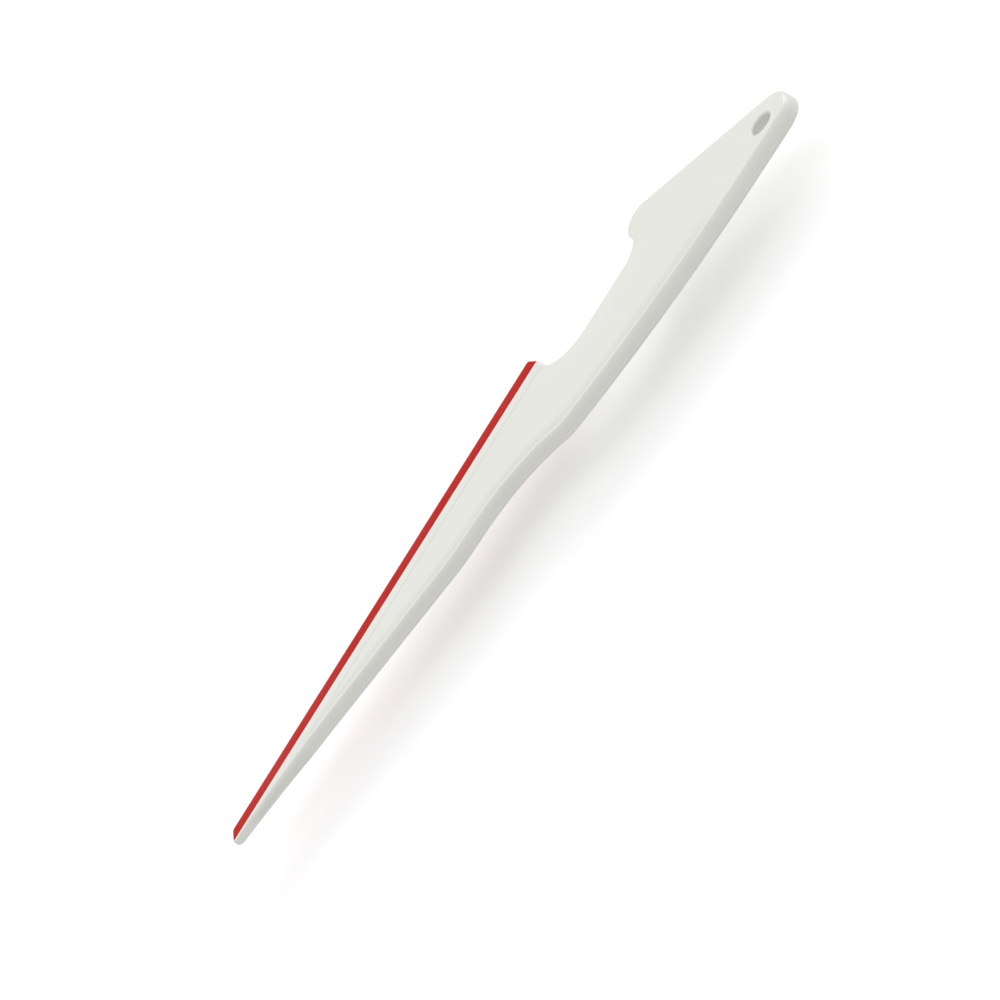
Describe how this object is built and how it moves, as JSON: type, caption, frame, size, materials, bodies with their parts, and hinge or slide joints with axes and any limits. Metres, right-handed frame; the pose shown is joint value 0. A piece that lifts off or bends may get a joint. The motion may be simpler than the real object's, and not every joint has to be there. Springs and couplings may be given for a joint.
{
  "type": "paper folding and creasing tool",
  "caption": "Flat knife-shaped hand tool for folding and creasing paper, with a coloured straight edge, a finger notch, a wavy spine and a hang hole in the handle.",
  "frame": {"origin": "centre of the bottom of the bounding box: middle of the length and of the width, on the back face", "axes": "+X along the straight edge from the tip to the handle, +Y from the spine towards the straight edge, +Z out of the front face"},
  "size_m": [0.238, 0.0508, 0.004],
  "materials": {
    "white_plastic": "smooth moulded gloss, warm white",
    "red_plastic": "smooth satin gloss, brick red"
  },
  "bodies": {
    "root": {"body": "white_plastic", "edge_strip": "red_plastic"}
  },
  "joints": []
}
